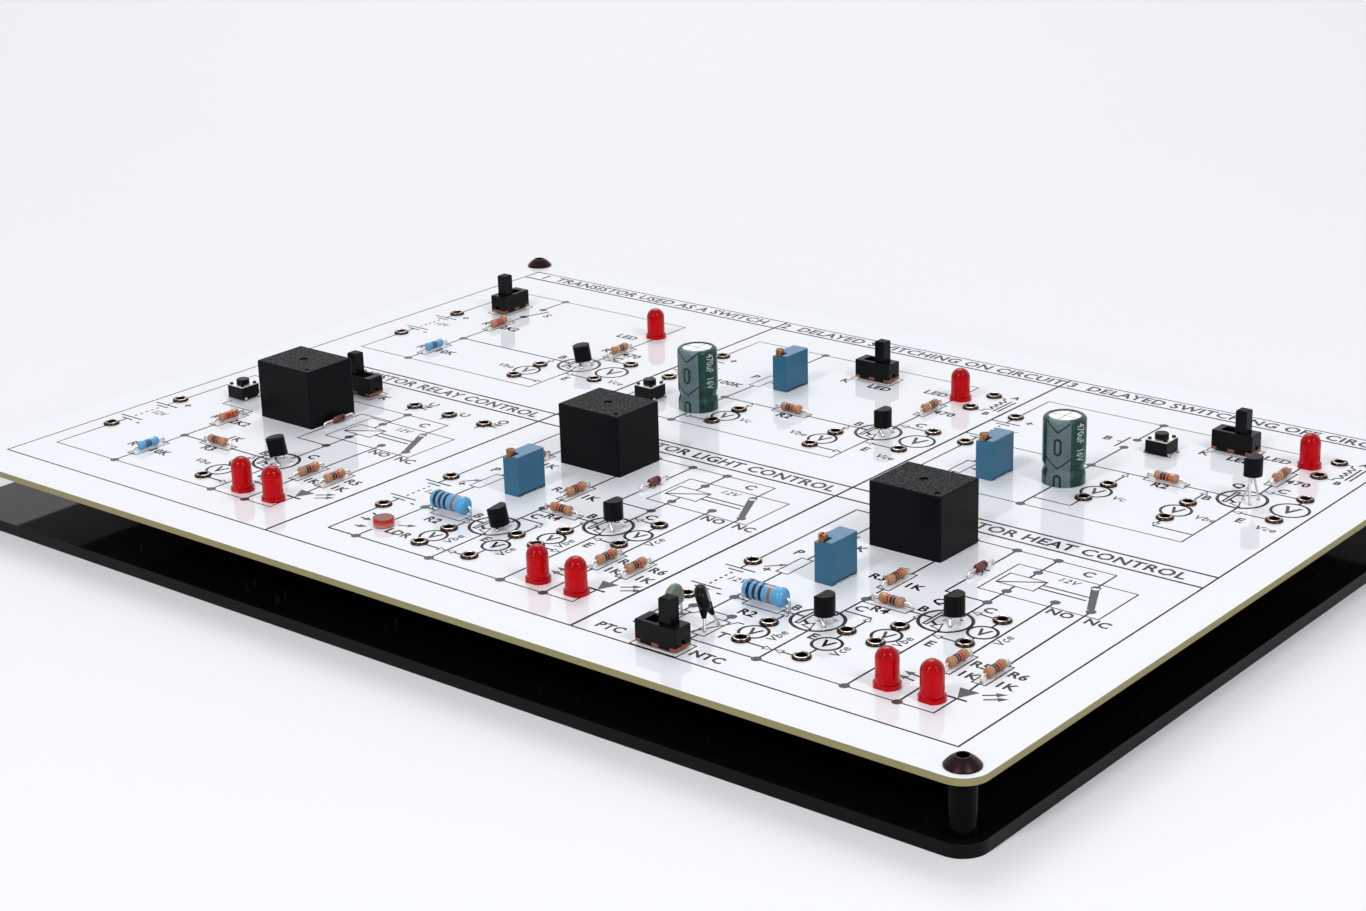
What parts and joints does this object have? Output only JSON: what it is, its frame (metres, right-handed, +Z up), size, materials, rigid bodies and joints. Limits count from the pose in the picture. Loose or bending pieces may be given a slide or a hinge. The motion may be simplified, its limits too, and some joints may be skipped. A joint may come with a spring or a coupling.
{
  "type": "electronics trainer",
  "caption": "Free-standing board of switching experiments: relays, switches, buttons, trimmers and parts on a printed board above a base on posts.",
  "frame": {"origin": "middle of the base plate's underside", "axes": "+X along the board's long side to the right, +Y to its back edge, +Z up"},
  "size_m": [0.311, 0.225, 0.0333],
  "materials": {
    "black_acrylic": "polished",
    "board_white": "gloss solder mask",
    "black_post": "turned and threaded",
    "black_screw": "black oxide",
    "tinned": "tinned wire",
    "relay_black": "fine texture",
    "copper": "enamelled copper wire",
    "iron": "plated soft iron",
    "black_plastic": "moulded",
    "switch_base": "paper laminate",
    "steel_cover": "satin",
    "trimmer_blue": "moulded",
    "can_aluminium": "drawn",
    "sleeve_green": "shrunk film",
    "foil": "rolled foil",
    "seal_rubber": "moulded",
    "led_red": "diffused epoxy",
    "case_black": "moulded epoxy",
    "resistor_tan": "coated",
    "resistor_blue": "coated",
    "diode_glass": "clear",
    "sensor_red": "ceramic",
    "ptc_green": "coated",
    "ntc_black": "coated",
    "bobbin_white": "moulded",
    "brass_screw": "machined",
    "eyelet_metal": "nickel plated"
  },
  "bodies": {
    "board_assembly": {"base_plate": "black_acrylic", "bottom_screws": "black_screw", "button_bodies": "black_plastic", "button_covers": "steel_cover", "button_domes": "steel_cover", "button_legs": "tinned", "capacitor_cans": "can_aluminium", "capacitor_foils": "foil", "capacitor_seals": "seal_rubber", "capacitor_sleeves": "sleeve_green", "carbon_resistors": "resistor_tan", "circuit_board": "board_white", "component_leads": "tinned", "diodes": "diode_glass", "eyelets": "eyelet_metal", "leds": "led_red", "light_sensor": "sensor_red", "metal_film_resistors": "resistor_blue", "ntc_thermistor": "ntc_black", "posts": "black_post", "power_resistors": "resistor_blue", "ptc_thermistor": "ptc_green", "relay_1_bobbin": "bobbin_white", "relay_1_cover": "relay_black", "relay_2_bobbin": "bobbin_white", "relay_2_cover": "relay_black", "relay_3_bobbin": "bobbin_white", "relay_3_cover": "relay_black", "relay_bases": "relay_black", "relay_terminals": "tinned", "relay_windings": "copper", "relay_yokes": "iron", "slide_switch_bases": "switch_base", "slide_switch_housings": "black_plastic", "slide_switch_terminals": "tinned", "top_screws": "black_screw", "transistors": "case_black", "trimmer_bodies": "trimmer_blue", "trimmer_pins": "tinned", "trimmer_seals": "black_plastic"},
    "button_1_plunger": {"button_1_plunger": "black_plastic"},
    "button_2_plunger": {"button_2_plunger": "black_plastic"},
    "button_3_plunger": {"button_3_plunger": "black_plastic"},
    "relay_1_armature": {"relay_1_armature": "iron"},
    "relay_2_armature": {"relay_2_armature": "iron"},
    "relay_3_armature": {"relay_3_armature": "iron"},
    "slide_switch_1_knob": {"slide_switch_1_knob": "black_plastic"},
    "slide_switch_2_knob": {"slide_switch_2_knob": "black_plastic"},
    "slide_switch_3_knob": {"slide_switch_3_knob": "black_plastic"},
    "slide_switch_4_knob": {"slide_switch_4_knob": "black_plastic"},
    "slide_switch_5_knob": {"slide_switch_5_knob": "black_plastic"},
    "trimmer_1_rotor": {"trimmer_1_rotor": "bobbin_white"},
    "trimmer_1_screw": {"trimmer_1_screw": "brass_screw"},
    "trimmer_2_rotor": {"trimmer_2_rotor": "bobbin_white"},
    "trimmer_2_screw": {"trimmer_2_screw": "brass_screw"},
    "trimmer_3_rotor": {"trimmer_3_rotor": "bobbin_white"},
    "trimmer_3_screw": {"trimmer_3_screw": "brass_screw"},
    "trimmer_4_rotor": {"trimmer_4_rotor": "bobbin_white"},
    "trimmer_4_screw": {"trimmer_4_screw": "brass_screw"}
  },
  "joints": [
    {"name": "slide_switch_1_slide", "type": "slide", "parent": "board_assembly", "child": "slide_switch_1_knob", "axis": [0, 1, 0], "range_m": [0, 0.0036]},
    {"name": "slide_switch_2_slide", "type": "slide", "parent": "board_assembly", "child": "slide_switch_2_knob", "axis": [-1, 0, 0], "range_m": [0, 0.0036]},
    {"name": "slide_switch_3_slide", "type": "slide", "parent": "board_assembly", "child": "slide_switch_3_knob", "axis": [-1, 0, 0], "range_m": [0, 0.0036]},
    {"name": "slide_switch_4_slide", "type": "slide", "parent": "board_assembly", "child": "slide_switch_4_knob", "axis": [1, 0, 0], "range_m": [0, 0.0036]},
    {"name": "slide_switch_5_slide", "type": "slide", "parent": "board_assembly", "child": "slide_switch_5_knob", "axis": [-1, 0, 0], "range_m": [0, 0.0036]},
    {"name": "button_1_press", "type": "slide", "parent": "board_assembly", "child": "button_1_plunger", "axis": [0, 0, -1], "range_m": [0, 0.00025], "stiffness_N_per_m": 1000, "springref_m": -0.0005},
    {"name": "button_2_press", "type": "slide", "parent": "board_assembly", "child": "button_2_plunger", "axis": [0, 0, -1], "range_m": [0, 0.00025], "stiffness_N_per_m": 1000, "springref_m": -0.0005},
    {"name": "button_3_press", "type": "slide", "parent": "board_assembly", "child": "button_3_plunger", "axis": [0, 0, -1], "range_m": [0, 0.00025], "stiffness_N_per_m": 1000, "springref_m": -0.0005},
    {"name": "relay_1_pull_in", "type": "hinge", "parent": "board_assembly", "child": "relay_1_armature", "pos_m": [-0.109, -0.03735, 0.02905], "axis": [0, 1, 0], "range_deg": [0, 3], "stiffness_Nm_per_rad": 0.02, "springref_deg": -2.86},
    {"name": "relay_2_pull_in", "type": "hinge", "parent": "board_assembly", "child": "relay_2_armature", "pos_m": [-0.0199, -0.01875, 0.02905], "axis": [0, 1, 0], "range_deg": [0, 3], "stiffness_Nm_per_rad": 0.02, "springref_deg": -2.86},
    {"name": "relay_3_pull_in", "type": "hinge", "parent": "board_assembly", "child": "relay_3_armature", "pos_m": [0.074, -0.01935, 0.02905], "axis": [0, 1, 0], "range_deg": [0, 3], "stiffness_Nm_per_rad": 0.02, "springref_deg": -2.86},
    {"name": "trimmer_1_turn", "type": "hinge", "parent": "board_assembly", "child": "trimmer_1_screw", "pos_m": [-0.0118, 0.05065, 0.0226], "axis": [0, 0, 1], "continuous": true},
    {"name": "trimmer_1_wiper", "type": "hinge", "parent": "board_assembly", "child": "trimmer_1_rotor", "pos_m": [-0.01095, 0.05435, 0.0218], "axis": [1, 0, 0], "continuous": true},
    {"name": "trimmer_2_turn", "type": "hinge", "parent": "board_assembly", "child": "trimmer_2_screw", "pos_m": [0.0694, 0.0246, 0.0226], "axis": [0, 0, 1], "continuous": true},
    {"name": "trimmer_2_wiper", "type": "hinge", "parent": "board_assembly", "child": "trimmer_2_rotor", "pos_m": [0.07025, 0.0283, 0.0218], "axis": [1, 0, 0], "continuous": true},
    {"name": "trimmer_3_turn", "type": "hinge", "parent": "board_assembly", "child": "trimmer_3_screw", "pos_m": [-0.0165, -0.0495, 0.0226], "axis": [0, 0, 1], "continuous": true},
    {"name": "trimmer_3_wiper", "type": "hinge", "parent": "board_assembly", "child": "trimmer_3_rotor", "pos_m": [-0.01565, -0.0458, 0.0218], "axis": [1, 0, 0], "continuous": true},
    {"name": "trimmer_4_turn", "type": "hinge", "parent": "board_assembly", "child": "trimmer_4_screw", "pos_m": [0.0768, -0.05065, 0.0226], "axis": [0, 0, 1], "continuous": true},
    {"name": "trimmer_4_wiper", "type": "hinge", "parent": "board_assembly", "child": "trimmer_4_rotor", "pos_m": [0.07765, -0.04695, 0.0218], "axis": [1, 0, 0], "continuous": true}
  ],
  "couplings": [
    {"joint": "trimmer_1_wiper", "follows": "trimmer_1_turn", "ratio": 0.04},
    {"joint": "trimmer_2_wiper", "follows": "trimmer_2_turn", "ratio": 0.04},
    {"joint": "trimmer_3_wiper", "follows": "trimmer_3_turn", "ratio": 0.04},
    {"joint": "trimmer_4_wiper", "follows": "trimmer_4_turn", "ratio": 0.04}
  ]
}
